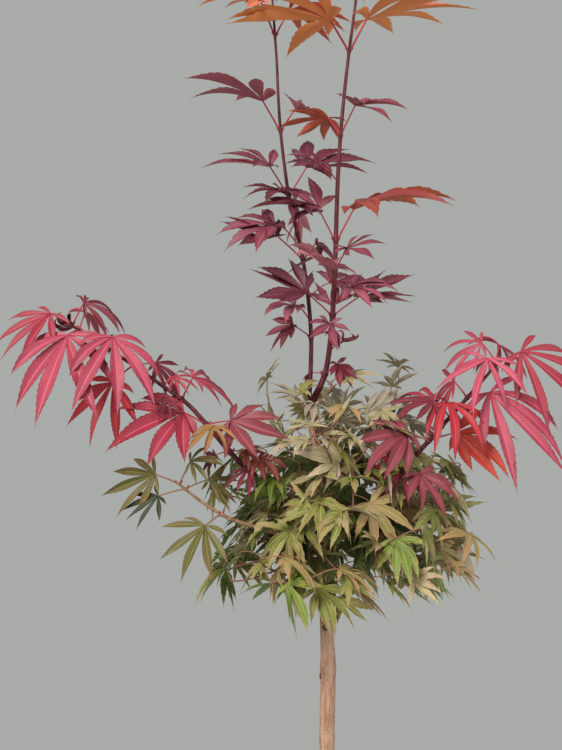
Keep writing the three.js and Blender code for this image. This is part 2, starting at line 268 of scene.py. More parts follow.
def leaf_pairs(limb):
    """The leaves of each spray of a limb, the longer of the two first, with their node's place on it."""
    line = LIMBS[limb]
    pairs = []
    for node in sorted(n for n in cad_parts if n.startswith(limb.removesuffix("_bough") + "_leaves")):
        points = corners(node)
        away = np.linalg.norm(points[:, None] - line[None, :, :3], axis=2).min(1)
        near = points[away < line[0, 3] + AT_NODE]
        middle = near.mean(0) if len(near) > 2 else points[away.argmin()]
        row = np.linalg.norm(line[:, :3] - middle, axis=1).argmin()
        heart = line[row, :3]
        flat, far = points[:, :2] - heart[:2], np.linalg.norm(points - heart, axis=1)
        first = unit(flat[far.argmax()])
        facing = (flat @ first) / np.maximum(np.linalg.norm(flat, axis=1), TINY)
        second = unit(flat[np.where(facing < -FACING, far, 0).argmax()])
        two = [{"heart": heart, "radius": line[row, 3], "row": row, **read_leaf(points, heart, way)}
               for way in (first, second)]
        pairs += sorted(two, key=lambda leaf: -leaf["reach"])
    return pairs


PAIRS = {limb: leaf_pairs(limb) for limb in (*LEADERS, *LONG_SHOOTS, "green_left_bough")}
for limb, pairs in PAIRS.items():
    heights = [round(pair["heart"][2], 3) for pair in pairs[::2]]
    print(limb, "has", len(pairs), "leaves, at heights", heights)

# %% The arch of a leaf
def arch(pair, u):
    """A point of a leaf's arch. u runs from the limb, 0, to the tip, 1: the stalk climbs, the blade sinks."""
    height = pair["rise"] * math.sin(math.pi * u**ARCH_POWER) + pair["tip"] * u**2
    return pair["heart"] + np.array([*pair["way"] * pair["reach"] * u, height])


def run_along(pair, start=0.0, steps=40):
    """Shares of the arch from start to its tip, and the length of the path from start to each."""
    shares = np.linspace(start, 1, steps + 1)
    path = np.array([arch(pair, u) for u in shares])
    return shares, np.r_[0, np.cumsum(np.linalg.norm(np.diff(path, axis=0), axis=1))]


longest = max(run_along(pair)[1][-1] for pairs in PAIRS.values() for pair in pairs)
print("the longest arch runs", round(longest, 3), "m")

# %% [markdown]
# ## Bark
# Young maple bark is smooth: fine lengthways creases, a low ring at each old leaf node, and small pale
# pores. The wood is lofted along the middle line that was read from the frame, and the creases and
# rings are moved into its corners. An image texture would be quicker, but its rings wouldn't sit at the
# nodes.

# %% Follow a line
ASKEW = (0.31, 0.95, 0.05)  # a direction that no limb follows


def frames(line):
    """Two directions square to a line at each of its rows, which turn as little as they can on the way."""
    along = np.gradient(line[:, :3], axis=0)
    along /= np.linalg.norm(along, axis=1)[:, None]
    side = unit(np.cross(along[0], ASKEW))
    sides = []
    for way in along:
        side = unit(side - way * side.dot(way))
        sides.append(side)
    sides = np.array(sides)
    return sides, np.cross(along, sides)


def run_of(line):
    """The length of a line from its foot to each of its rows."""
    return np.r_[0, np.cumsum(np.linalg.norm(np.diff(line[:, :3], axis=0), axis=1))]


def even(line, step):
    """The same line with rows an even step apart, and how far along it each lies."""
    run = run_of(line)
    at = np.linspace(0, run[-1], max(4, int(round(run[-1] / step)) + 1))
    return np.column_stack([np.interp(at, run, line[:, k]) for k in range(line.shape[1])]), at


print("lengths of the limbs:", {name: round(run_of(line)[-1], 3) for name, line in LIMBS.items()})

# %% Loft the wood
CREASES = (3, 5, 8, 11, 15)  # how many of each kind stand round a limb
ANY_PHASE = (0, 6.28)  # the range of a random phase


def ring_faces(rings, sides):
    """Faces of a tube of rings, closed at both ends."""
    edges = [(r * sides + k, r * sides + (k + 1) % sides) for r in range(rings - 1) for k in range(sides)]
    return [(a, b, b + sides, a + sides) for a, b in edges] + [
        tuple(range(sides))[::-1], tuple(range((rings - 1) * sides, rings * sides))]


def loft(name, line, sides, step, shape, material):
    """Wood along a line. shape(length along it, angle round it) multiplies the radius."""
    rows, at = even(line, step)
    side, over = frames(rows)
    angle = circle(sides)
    radius = rows[:, 3:4] * shape(at[:, None], angle[None, :])
    points = (rows[:, None, :3] + radius[..., None] * (np.cos(angle)[None, :, None] * side[:, None]
              + np.sin(angle)[None, :, None] * over[:, None]))
    return mesh_object(name, points.reshape(-1, 3), ring_faces(len(rows), sides), [material])


def creased(seed, nodes, depth, swell, swell_length):
    """A radius rule: lengthways creases that wander and fade, and a swelling at each node."""
    rng = np.random.default_rng(seed)
    waves = [(n, rng.uniform(8, 40), rng.uniform(*ANY_PHASE), rng.uniform(-6, 6)) for n in CREASES]

    def shape(at, angle):
        made = np.ones(np.broadcast(at, angle).shape)
        for n, pitch, phase, twist in waves:
            round_it, along_it = np.sin(n * angle + twist * at + phase), np.sin(pitch * at + phase * 2)
            made = made + depth / n**0.5 * round_it * along_it
        for node in nodes:
            made = made + swell * np.exp(-(((at - node) / swell_length) ** 2))
        return made
    return shape


print("creases round a limb:", sum(CREASES))

# %% Bark finishes
STREAK_STRETCH = (1, 1, 0.16)  # streaks run up the limb
STREAK_SCALE = 0.55  # of the grain's
DARK_UP_TO, PALE_FROM = 0.33, 0.68  # strengths of the streaks
BARK_RELIEF = 0.35


def bark_finish(name, base, dark, pale, grain, roughness, specular=0.4):
    """Bark: a base colour, darker and paler lengthways streaks, fine relief."""
    material = finish(name, base, roughness, grain, BARK_RELIEF, specular)
    tree = material.node_tree
    place = add_node(tree, "ShaderNodeTexCoord")
    stretch = add_node(tree, "ShaderNodeMapping", Scale=STREAK_STRETCH)
    streaks = add_node(tree, "ShaderNodeTexNoise", Scale=grain * STREAK_SCALE, Detail=6, Roughness=0.65)
    ramp = add_node(tree, "ShaderNodeValToRGB")
    stops = ramp.color_ramp.elements
    stops[0].position, stops[0].color = DARK_UP_TO, linear(*dark)
    stops[1].position, stops[1].color = PALE_FROM, linear(*pale)
    stops.new(0.5).color = linear(*base)
    join(tree, (place, "Object", stretch, "Vector"), (stretch, "Vector", streaks, "Vector"),
         (streaks, "Fac", ramp, "Fac"), (ramp, "Color", tree.nodes["Principled BSDF"], "Base Color"))
    return material


STEM_BARK = bark_finish("stem_bark", base=(184, 142, 118), dark=(146, 102, 82), pale=(208, 172, 148),
                        grain=420, roughness=0.62)
SHOOT_BARK = bark_finish("shoot_bark", base=(90, 34, 42), dark=(60, 20, 29), pale=(118, 54, 57),
                         grain=900, roughness=0.5, specular=0.25)
BOUGH_BARK = bark_finish("bough_bark", base=(150, 112, 84), dark=(104, 72, 52), pale=(184, 146, 112),
                         grain=600, roughness=0.6)
BARKS = {"stem": (STEM_BARK, "bark"), **dict.fromkeys(LEADERS + LONG_SHOOTS, (SHOOT_BARK, "young_bark"))}
print("barks:", [bark.name for bark in (STEM_BARK, SHOOT_BARK, BOUGH_BARK)])

# %% Build the wood
STEM_NODES = (0.12, 0.21, 0.3, 0.39, 0.47, 0.55, 0.63, 0.7, 0.77, 0.845, 0.905)  # heights of old leaf nodes
pieces = []
for name, line in LIMBS.items():
    bark, slot = BARKS.get(name, (BOUGH_BARK, "green_bark"))
    if name == "stem":
        shape = creased(5, STEM_NODES, depth=0.02, swell=0.07, swell_length=0.004)
        wood = loft("stem_wood", line, sides=40, step=0.0025, shape=shape, material=bark)
    else:
        nodes = sorted({round(run_of(line[: pair["row"] + 1])[-1], 4) for pair in PAIRS.get(name, [])})
        shape = creased(len(name), nodes, depth=0.03, swell=0.42, swell_length=0.0022)
        wood = loft(name + "_wood", line, sides=16, step=0.002, shape=shape, material=bark)
    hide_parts(name)
    pieces.append(wood)
    print(wood.name, len(wood.data.polygons), "faces")

# %% [markdown]
# ## One leaf
# A maple leaf is a fan of seven long lobes that meet at the stalk. Each lobe is a closed blade with a
# top and an underside that share a toothed edge. It has a vein down its middle, it is widest near its
# half, and it draws out into a long tip. Its middle line starts in the plane of the fan and is then
# bent by its own weight. One leaf copied many times would show at once, so each is made anew, with
# its own bends and blotches. The finish is dealt to bands of the blade: vein, middle, edge and
# underside each take a plain colour.

# %% Outline of a lobe
LOBES = ((0, 1.0), (31, 0.93), (-31, 0.93), (63, 0.7), (-63, 0.7), (103, 0.38), (-103, 0.38))  # angle, share
UP, DOWN = np.array([0.0, 0.0, 1.0]), np.array([0.0, 0.0, -1.0])
# Where the top of a lobe has its corners, from its edge to its middle, and the band between each two.
FINE = {"columns": (1.0, 0.88, 0.46, 0.05), "bands": ("edge", "flush", "blade"), "under": (0.5, 0.0, -0.5)}
PLAIN = {"columns": (1.0, 0.88, 0.06), "bands": ("edge", "blade"), "under": (0.0,)}


def half_width(s, habit):
    """Half width of a lobe, as a share of its widest, at the share s of its length."""
    widest = habit["widest"]
    if s < widest:
        return habit["waist"] + (1 - habit["waist"]) * math.sin(math.pi / 2 * s / widest) ** 1.3
    return math.cos(math.pi / 2 * (s - widest) / (1 - widest)) ** habit["taper"]


def bend_at(s):
    """How strongly a lobe bends at the share s of its length: it is stiff at its foot and limp at its tip."""
    return 0.4 + 1.2 * s


print("a leaf has", len(LOBES), "lobes; half widths of one:",
      [round(half_width(s, {"widest": 0.5, "waist": 0.3, "taper": 1.6}), 2) for s in (0, 0.25, 0.5, 0.75)])

# %% Where autumn shows on a lobe
BLOTCHES = ((0.13, 9, 1), (0.1, 23, -2))  # strength, waves along the lobe, waves across it
TURNING, TURNED = -0.1, 0.1  # a blade starts to turn, and has turned
GREEN_FLUSH, GREENER_FLUSH = -0.3, -0.45  # further back, the flush is half green, and then green
TIP = 0.9  # share of the length from which a lobe is all edge


def autumn_band(band, s, mottle, reach):
    """The band that a face shows once autumn has come in from the tip to the share reach of its lobe."""
    autumn = s + mottle - reach
    if band == "blade" and autumn > TURNING:
        return "flush" if autumn > TURNED else "turning"
    if band == "flush" and autumn < GREEN_FLUSH:
        return "blade" if autumn < GREENER_FLUSH else "turning"
    return "edge" if band in ("flush", "vein") and s + mottle > TIP else band


print("a blade turns over", round(TURNED - TURNING, 2), "of its length")

# %% Leaves as one mesh
LEAST_ROWS = 6  # of corners along a lobe
BLUNT = 0.985  # share of a lobe's length from which it narrows no more
TOOTH_BACK = 0.8  # a notch between teeth goes in by this share of what a tooth stands out
TOOTH_LEAN = 0.5  # a tooth points ahead by this share of a row
WEB = 0.0012  # how far from their meeting point lobes are still joined
PUFF = 0.16  # how far each half of the blade swells up between vein and edge
RIPPLES = 8  # how fast the edge waves, in radians along a lobe
SKIN_TIP, SKIN_FOOT = 0.00024, 0.0003  # thickness at the tip, and how much more at the foot
SHARP = 48  # degrees from which an edge of the mesh is shaded sharp
STRAY = 4  # degrees by which a lobe strays from its place in the fan
UNEVEN = (0.88, 1.06)  # the range of a lobe's length, against LOBES
FREE_SIDE = math.radians(60)  # what the fan's first and last lobe have to themselves on their outer side


def store(mesh, name, values):
    """Keeps one number or one direction for each point of a mesh, as an attribute."""
    values = np.array(values, np.float32)
    kind, field = ("FLOAT", "value") if values.ndim == 1 else ("FLOAT_VECTOR", "vector")
    mesh.attributes.new(name, kind, "POINT").data.foreach_set(field, values.ravel())


class Leaves:
    """Collects leaves as one mesh: its corners, its faces and the finish of each face."""

    def __init__(self, slots):
        self.slots, self.count = slots, 0
        self.points, self.places, self.faces, self.bands = [], [], [], []

    def ring(self, at, side, top, lead, halves, run, form, section):
        """Corners of a ring of a lobe: over the top from its left edge to its right, and back underneath."""
        fold, hump, wave, thick = form
        left, right = halves
        columns = section["columns"]
        for sign, half, column in [(-1, left, c) for c in columns] + [(1, right, c) for c in columns[::-1]]:
            lift = fold * column + hump * column * (1 - column) + sign * wave * column**2
            self.points.append(at + side * (sign * half * column) + top * (lift * half)
                               + lead * (1 if column == 1 else 0.3 * column))
            self.places.append((half * column, run, 0))
        for column in section["under"]:
            out = abs(column) * (right if column > 0 else left)
            self.points.append(at + side * math.copysign(out, column) + top * (fold * out - thick))
            self.places.append((out, run, 0))

    def skin(self, rows, bands, blotch, reach, tint):
        """Faces between the lobe's rings, which were added last, each with the finish of its band."""
        size = len(bands)
        last = len(self.points) - size
        first = last - rows * size
        for row in range(rows):
            s = row / rows
            for k, band in enumerate(bands):
                a, b = first + row * size + k, first + row * size + (k + 1) % size
                self.faces.append((a, b, b + size, a + size))
                mottle = sum(deep * math.sin(phase + along * s + across * k)
                             for phase, (deep, along, across) in zip(blotch, BLOTCHES))
                self.bands.append(tint[autumn_band(band, s, mottle, reach)])
        for cap in (tuple(range(first, first + size))[::-1], tuple(range(last, last + size))):
            self.faces.append(cap)
            self.bands.append(tint["edge"])

    def lobe(self, base, ahead, up, length, share, limits, rng, habit, tint):
        """One lobe: a closed blade that starts at base, looks along ahead and bends down on its way."""
        rows = max(LEAST_ROWS, 2 * round(habit["rows"] * (0.3 + 0.7 * share) / 2))  # fewer on a short lobe
        step, width = length / rows, length * habit["slim"] / (0.45 + 0.55 * share)  # a short lobe is stout
        at, way, top = base.copy(), ahead.copy(), up.copy()
        sway, phase = rng.normal(0, habit["sway"]), rng.uniform(*ANY_PHASE)
        bend, fold = habit["bend"] * rng.uniform(0.8, 1.2), habit["fold"] * rng.uniform(0.6, 1.4)
        turn = habit["twist"] * rng.normal(0, 1)
        blotch, reach = rng.uniform(0, 50, 2), rng.uniform(*habit["green_to"])
        for row in range(rows + 1):
            s, odd = row / rows, row % 2
            side = unit(np.cross(way, top))
            half = width / 2 * half_width(min(s, BLUNT), habit)
            toothed = 1 < row < rows - 1
            half *= 1 + (habit["teeth"] * (1 if odd else -TOOTH_BACK) if toothed else 0)
            lead = way * (step * TOOTH_LEAN if odd and toothed else 0)
            halves = [min(half, (s * length + WEB) * limit) for limit in limits]
            hump = PUFF + habit["quilt"] * (1 if odd else -1)
            wave = habit["ripple"] * math.sin(RIPPLES * s + phase)
            form = (fold, hump, wave, SKIN_TIP + SKIN_FOOT * (1 - s))
            self.ring(at, side, top, lead, halves, s * length, form, habit["section"])
            way = unit(way + DOWN * (bend * bend_at(s) / rows) + side * (sway * 3 / rows)
                       + top * (habit["curl"] * s / rows))
            top = unit(top + side * (turn / rows))
            top = unit(top - way * top.dot(way))
            at = at + way * step
        half_bands, under = habit["section"]["bands"], habit["section"]["under"]
        bands = (*half_bands, "vein", *half_bands[::-1], *["under"] * (len(under) + 1))
        self.skin(rows, bands, blotch, reach, tint)

    def leaf(self, base, ahead, up, length, rng, habit, tint):
        """A leaf whose lobes fan out from its base, in the plane that looks along up."""
        ahead = unit(ahead)
        up = unit(up - ahead * up.dot(ahead))
        side = np.cross(ahead, up)
        angles = [math.radians(angle * habit["spread"] + rng.normal(0, STRAY)) for angle, _ in LOBES]
        order = sorted(range(len(LOBES)), key=lambda k: angles[k])
        for place, k in enumerate(order):
            lower = angles[k] - angles[order[place - 1]] if place else FREE_SIDE
            upper = angles[order[place + 1]] - angles[k] if place < len(order) - 1 else FREE_SIDE
            limits = [math.tan(gap / 2) * 1.04 for gap in (upper, lower)]  # neighbours meet halfway
            share = LOBES[k][1] * rng.uniform(*UNEVEN)
            way = math.cos(angles[k]) * ahead + math.sin(angles[k]) * side
            way = unit(way + up * (habit["cup"] * (1 - math.cos(angles[k])) + rng.normal(0.02, 0.06)))
            tilt = unit(up - way * up.dot(way))
            self.lobe(base, way, tilt, length * share, share, limits, rng, habit, tint)
        self.count += 1

    def build(self, name):
        """The object of all leaves, with each corner's place on its lobe for the side veins."""
        made = mesh_object(name, self.points, self.faces, self.slots, self.bands)
        made.data.set_sharp_from_angle(angle=math.radians(SHARP))
        store(made.data, "vein_place", self.places)
        triangles = sum(len(p.vertices) - 2 for p in made.data.polygons)
        print(name, self.count, "leaves,", triangles, "triangles")
        return made


print("corners round a lobe:", {"fine": 2 * len(FINE["columns"]) + 3, "plain": 2 * len(PLAIN["columns"]) + 1})

# %% Stalks and twigs as chains of points
def arc(start, out, end, arrive, steps=7):
    """A curve from start, leaving along out, to end, arriving along arrive."""
    pull = np.linalg.norm(end - start) / 3
    a, b = start + unit(out) * pull, end - unit(arrive) * pull
    t = np.linspace(0, 1, steps)[:, None]
    return (1 - t) ** 3 * start + 3 * t * (1 - t) ** 2 * a + 3 * t**2 * (1 - t) * b + t**3 * end


class Chains:
    """Collects thin wood: each chain is a row of points with a radius, to be swept by Geometry Nodes."""

    def __init__(self):
        self.points, self.edges, self.radii = [], [], []

    def add(self, points, radii):
        """One more chain."""
        first = len(self.points)
        self.points.extend(points)
        self.radii.extend(radii)
        self.edges.extend((first + k, first + k + 1) for k in range(len(points) - 1))

    def stalk(self, start, out, end, arrive, foot, tip, stout=1.0):
        """A leaf's stalk, whose radius runs from foot to tip."""
        curve = arc(start, out, end, arrive)
        self.add(curve, np.linspace(foot, tip, len(curve)) * stout)


red_stalks, green_stalks, twigs = Chains(), Chains(), Chains()
print("points of a stalk:", len(arc(HEAD, UP, HEAD + UP, UP)))

# %% [markdown]
# ## Leaf colours
# Autumn reaches the shoots first. The low head is still green with bronze and tan edges, the leaders
# are dark purple with their newest leaves orange beneath, and the long side shoots are crimson. Those
# orange undersides are brighter than the leaves are: painted light that shines through them from above.
# Each leaf is dealt one set of plain colours. Plain colours on bands of faces keep sharp, and they need
# no image texture that could blur.

# %% Sets of colours
TINTS = {
    # name: vein, blade, flush, edge, underside
    "crimson": ((192, 92, 108), (158, 42, 62), (146, 36, 54), (122, 28, 44), (184, 84, 100)),
    "rose": ((198, 112, 128), (174, 64, 84), (160, 54, 74), (134, 42, 60), (190, 104, 120)),
    "scarlet": ((192, 78, 82), (176, 38, 50), (162, 32, 46), (134, 28, 42), (194, 74, 78)),
    "claret": ((146, 62, 74), (118, 36, 50), (104, 32, 44), (88, 26, 38), (152, 68, 82)),
    "dusk": ((160, 86, 94), (136, 56, 66), (126, 50, 58), (102, 40, 50), (160, 84, 92)),
    "russet": ((150, 76, 56), (122, 44, 36), (136, 54, 36), (98, 34, 32), (142, 62, 46)),
    "blush": ((216, 132, 150), (190, 76, 98), (178, 66, 88), (150, 50, 72), (206, 118, 136)),
    "flame": ((196, 88, 62), (178, 52, 40), (184, 64, 42), (148, 40, 36), (190, 92, 62)),
    "wine": ((136, 72, 86), (104, 42, 56), (92, 36, 50), (78, 30, 42), (166, 84, 98)),
    "plum": ((164, 98, 110), (132, 62, 76), (118, 50, 64), (98, 38, 50), (172, 96, 106)),
    "rosewood": ((190, 118, 130), (160, 84, 100), (146, 70, 86), (116, 50, 64), (190, 114, 126)),
    # ember's underside and all of orange are partly the leaves' own orange, partly painted light shining
    # through the topmost leaves
    "ember": ((172, 82, 64), (134, 52, 52), (150, 62, 50), (132, 48, 46), (200, 98, 66)),
    "orange": ((224, 138, 90), (204, 106, 74), (214, 114, 74), (188, 82, 66), (240, 146, 84)),
    "olive": ((176, 174, 106), (120, 124, 52), (150, 130, 78), (168, 144, 100), (144, 144, 94)),
    "moss": ((136, 152, 70), (80, 102, 26), (108, 110, 44), (118, 116, 54), (108, 124, 58)),
    # deep: a dark green that also holds painted shade
    "deep": ((68, 76, 28), (38, 48, 8), (48, 50, 14), (62, 60, 26), (56, 64, 26)),
    "ash": ((176, 168, 146), (136, 128, 102), (156, 138, 120), (164, 146, 131), (162, 153, 134)),
    "bronze": ((188, 178, 132), (138, 132, 78), (172, 144, 108), (188, 160, 128), (164, 152, 118)),
    "fawn": ((196, 184, 150), (152, 142, 100), (182, 156, 128), (194, 168, 142), (178, 166, 136)),
    "lime": ((158, 168, 88), (108, 126, 40), (146, 138, 66), (162, 148, 86), (130, 140, 82)),
    "peach": ((216, 194, 154), (176, 160, 116), (208, 172, 142), (216, 180, 154), (194, 174, 144)),
    "rust": ((190, 162, 116), (148, 130, 76), (170, 130, 88), (188, 146, 112), (168, 142, 106)),
    "sedge": ((146, 132, 80), (98, 94, 42), (118, 90, 50), (104, 72, 46), (116, 100, 60)),
    "amber": ((172, 140, 84), (148, 108, 56), (156, 84, 48), (128, 64, 42), (158, 112, 72)),
    "withered": ((126, 42, 48), (98, 26, 34), (86, 22, 30), (74, 18, 26), (116, 46, 50)),
}
PARTS = ("vein", "blade", "flush", "edge", "under")
ROUGHNESS = {"vein": 0.54, "blade": 0.52, "flush": 0.54, "edge": 0.58, "under": 0.68, "turning": 0.53}
print("sets of leaf colours:", len(TINTS))

# %% A leaf's skin
VEIN_SPACING = 0.0037  # between side veins, in metres along the lobe
VEIN_SLANT = -1.1  # how far a side vein runs ahead on its way out
VEIN_HEIGHT = 0.3  # against the grain's


def number_node(tree, operation, second=0.5):
    """A node that calculates, with its second number."""
    node = tree.nodes.new("ShaderNodeMath")
    node.operation = operation
    node.inputs[1].default_value = second
    return node


def leaf_finish(name, colour, roughness):
    """A leaf's skin: one plain colour, with side veins that slant away from the middle one as fine ridges."""
    material = finish(name, colour, roughness, grain=1400, relief=0.16, specular=0.42)
    tree = material.node_tree
    place, split = add_node(tree, "ShaderNodeAttribute"), add_node(tree, "ShaderNodeSeparateXYZ")
    place.attribute_name = "vein_place"
    slant = number_node(tree, "MULTIPLY_ADD", VEIN_SLANT)
    turns = number_node(tree, "MULTIPLY", 2 * math.pi / VEIN_SPACING)
    ridge = number_node(tree, "SINE")
    height = number_node(tree, "MULTIPLY_ADD", VEIN_HEIGHT)
    join(tree, (place, "Vector", split, "Vector"), (split, "X", slant, 0), (split, "Y", slant, 2),
         (slant, "Value", turns, 0), (turns, "Value", ridge, 0), (ridge, "Value", height, 0),
         (tree.nodes["Noise Texture"], "Fac", height, 2), (height, "Value", tree.nodes["Bump"], "Height"))
    return material


def leaf_set(*names):
    """Materials for these sets of colours, and for each set the place of each band's material among them."""
    skins, places = [], {}
    for name in names:
        colours = dict(zip(PARTS, TINTS[name]))
        colours["turning"] = tuple((a + b) / 2 for a, b in zip(colours["blade"], colours["flush"]))
        places[name] = {band: len(skins) + k for k, band in enumerate(colours)}
        skins += [leaf_finish(f"leaf_{name}_{band}", colour, ROUGHNESS[band])
                  for band, colour in colours.items()]
    return skins, places


RED_SKINS, RED = leaf_set("crimson", "rose", "scarlet", "claret", "dusk", "russet", "blush", "flame",
                          "amber", "withered")
PURPLE_SKINS, PURPLE = leaf_set("wine", "plum", "rosewood", "claret", "ember", "orange", "withered")
GREEN_SKINS, GREEN = leaf_set("olive", "moss", "deep", "sedge", "bronze", "fawn", "ash", "lime", "peach",
                              "rust")
print("leaf materials: red", len(RED_SKINS), "purple", len(PURPLE_SKINS), "green", len(GREEN_SKINS))

# %% [markdown]
# ## Leaves of the leaders and of the long shoots
# These shoots carry their leaves in facing pairs, each pair turned a quarter from the one below. Every
# spray of the frame gives one pair. The stalk rises from the node, and the blade follows the spray's
# arch to its tip. The same few numbers, its habit, tell a hanging leaf from a level one, so both come
# from one function.

# %% How the kinds of shoot leaf hold themselves
# section, rows: the corners across its longest lobe, and along it
# spread, cup: how wide the fan is, against LOBES, and how far its outer lobes stand up
# slim, waist, widest, taper: the width of the longest lobe for its length, and its outline
# teeth, fold, ripple, quilt: how far the edge is toothed, the halves fold up, the edge waves, and the
# blade puckers
# sway, curl, twist: how far a lobe strays sideways, rolls up and turns on its way
# green_to: the shares of a lobe's length between which its green ends and autumn starts
# stalk, roll, lean: the stalk's length in metres, how far a leaf rolls at random, and how far it turns
# to the light
# held, shrunk: how much of its arch's climb and fall, and of its length, a leaf takes up, if not all
HABITS = {"hanging": dict(  # the long shoots' leaves: slim lobes, folded along the vein, bent by their weight
    section=FINE, rows=32, spread=0.93, cup=0.0, slim=0.138, waist=0.27, widest=0.52, taper=1.5,
    teeth=0.05, fold=0.5, ripple=0.1, quilt=0.1, sway=0.07, curl=0.0, twist=0.4, green_to=(0.5, 1.2),
    stalk=0.027, roll=0.15, lean=1.2)}
HABITS["slender"] = dict(HABITS["hanging"], slim=0.112, spread=0.97)  # the right shoot's leaves
HABITS["broad"] = dict(HABITS["hanging"], slim=0.2, waist=0.34, widest=0.48)  # those near the head
HABITS["level"] = dict(  # the leaders' leaves: held level, cupped, with long drawn tips
    HABITS["hanging"], rows=24, spread=0.95, cup=0.55, slim=0.205, waist=0.26, widest=0.5, taper=1.7,
    fold=0.4, ripple=0.12, sway=0.08, stalk=0.037, roll=0.3, lean=0.42)
HABITS["drooping"] = dict(HABITS["level"], lean=0.9, slim=0.23)  # the leaders' older, lower leaves
HABITS["edge_on"] = dict(HABITS["level"], lean=0.1, cup=0.25)  # the flat leaf at the height of the eye
# The topmost leaves are held more level than their sprays arch, so their undersides show at a low angle.
HABITS["overhead"] = dict(HABITS["level"], lean=0.32, cup=0.12, slim=0.165, held=0.5)
# A withered leaf is small and thin, and its lobes have rolled up like claws.
HABITS["withered"] = dict(HABITS["level"], rows=18, slim=0.13, cup=1.1, curl=7.0, fold=1.4, ripple=0.5,
                          twist=1.2, sway=0.4, shrunk=0.62)
print("habits:", list(HABITS))

# %% Hang a leaf on its arch
TO_LIGHT = np.array([0.0, -1.0, 0.0])
LIMP, STIFF = 6.0, -2.5  # the strongest bend down, and the strongest up
TRIAL_ROWS, HALVINGS = 16, 24  # of a trial lobe, and of the range of its bend
STALK_SHARE = 0.4  # a stalk takes up no more of the arch than this
STALK_AHEAD = 0.06  # share of the arch over which the stalk's first direction is taken
BLADE_AHEAD = 0.3  # share of the arch over which the blade's first direction is taken
STALK_FROM = 0.6  # a stalk starts this far out from the middle of its limb, for the limb's radius


def fitted_bend(elevation, length, drop):
    """How strongly a lobe must bend down for its tip to end `drop` above its base."""
    low, high = STIFF, LIMP
    for _ in range(HALVINGS):
        bend, angle = (low + high) / 2, np.array([math.cos(elevation), math.sin(elevation)])
        height = 0.0
        for row in range(TRIAL_ROWS):
            angle = unit(angle + np.array([0, -1]) * bend * bend_at(row / TRIAL_ROWS) / TRIAL_ROWS)
            height += angle[1] * length / TRIAL_ROWS
        low, high = (bend, high) if height > drop else (low, bend)
    return (low + high) / 2


def grow_pair_leaf(pair, leaves, stalks, rng, habit, tint):
    """One leaf along the arch of its spray: a stalk up to the blade, and the blade out to the tip."""
    shares, run = run_along(pair)
    blade_from = float(np.interp(min(habit["stalk"], STALK_SHARE * run[-1]), run, shares))
    way = np.array([*pair["way"], 0.0])
    base, tip = arch(pair, blade_from), arch(pair, 1.0)
    held = habit.get("held", 1)
    ahead = unit((arch(pair, blade_from + BLADE_AHEAD) - base) * (1, 1, held))
    length = run_along(pair, blade_from)[1][-1] * habit.get("shrunk", 1)
    side = unit(np.cross(way, (0, 0, 1)))
    roll = rng.normal(0, habit["roll"])
    up = np.cross(side, ahead) * math.cos(roll) + side * math.sin(roll) + TO_LIGHT * habit["lean"]
    full = dict(habit, bend=fitted_bend(math.asin(ahead[2]), length, (tip - base)[2] * held))
    leaves.leaf(base, ahead, up, length, rng, full, tint)
    start = pair["heart"] + way * pair["radius"] * STALK_FROM
    out = unit(arch(pair, STALK_AHEAD) - pair["heart"]) + 2 * unit(base - start)
    stalks.stalk(start, out, base, base - start, foot=0.00085, tip=0.00065, stout=0.75 + length * 5)


print("bend of a 0.1 m lobe that starts level and ends 0.04 m lower:", round(fitted_bend(0, 0.1, -0.04), 2))

# %% Grow the pairs
SPRAY_TINTS = {  # the set of each leaf: spray by spray, the longer leaf of each pair first
    "red_left_bough": "russet claret, crimson dusk, rose claret, scarlet claret, rose claret, rose crimson, "
                      "crimson claret",
    "red_right_bough": "dusk crimson, flame dusk, crimson scarlet, rose crimson, blush crimson, crimson rose",
    "leader_left": "claret withered, wine plum, rosewood wine, wine plum, wine plum, ember orange, "
                   "claret claret",
    "leader_right": "claret withered, plum rosewood, wine plum, plum wine, ember plum, ember plum, "
                    "orange orange, orange ember, ember orange",
    "green_left_bough": "sedge moss, deep sedge, sedge sedge",
}
TOPMOST = 1.47  # nodes above this height hold the leaves that are seen from below
EYE_LEVEL = 1.36  # flat leaves above this height are seen from below
OLDEST = 1.35  # nodes below this height hold the leaders' older leaves
SHORT_REACH = 0.1  # older leaves droop if they reach less far than this
BROAD_LEAVES = 4  # each long shoot starts with this many broad leaves
red_leaves, purple_leaves, green_shoot_leaves = Leaves(RED_SKINS), Leaves(PURPLE_SKINS), Leaves(GREEN_SKINS)
GROWS = {**dict.fromkeys(LONG_SHOOTS, (red_leaves, red_stalks, RED)),
         **dict.fromkeys(LEADERS, (purple_leaves, red_stalks, PURPLE)),
         "green_left_bough": (green_shoot_leaves, green_stalks, GREEN)}


def habit_of(limb, k, pair, tint):
    """The habit of the leaf that comes as number k on its limb."""
    height = pair["heart"][2]
    if tint == "withered":
        return "withered"
    if limb in LONG_SHOOTS and k < BROAD_LEAVES:
        return "broad"
    if limb not in LEADERS:
        return "slender" if limb == "red_right_bough" else "hanging"
    if height > TOPMOST or tint == "ember":
        return "overhead" if height > EYE_LEVEL else "edge_on"
    return "drooping" if height < OLDEST and pair["reach"] < SHORT_REACH else "level"


rng = np.random.default_rng(7)
for limb, (leaves, stalks, sets) in GROWS.items():
    dealt = SPRAY_TINTS[limb].replace(",", "").split()
    for k, (pair, tint) in enumerate(zip(PAIRS[limb], dealt, strict=True)):
        grow_pair_leaf(pair, leaves, stalks, rng, HABITS[habit_of(limb, k, pair, tint)], sets[tint])
    print(limb, "carries", len(PAIRS[limb]), "leaves")

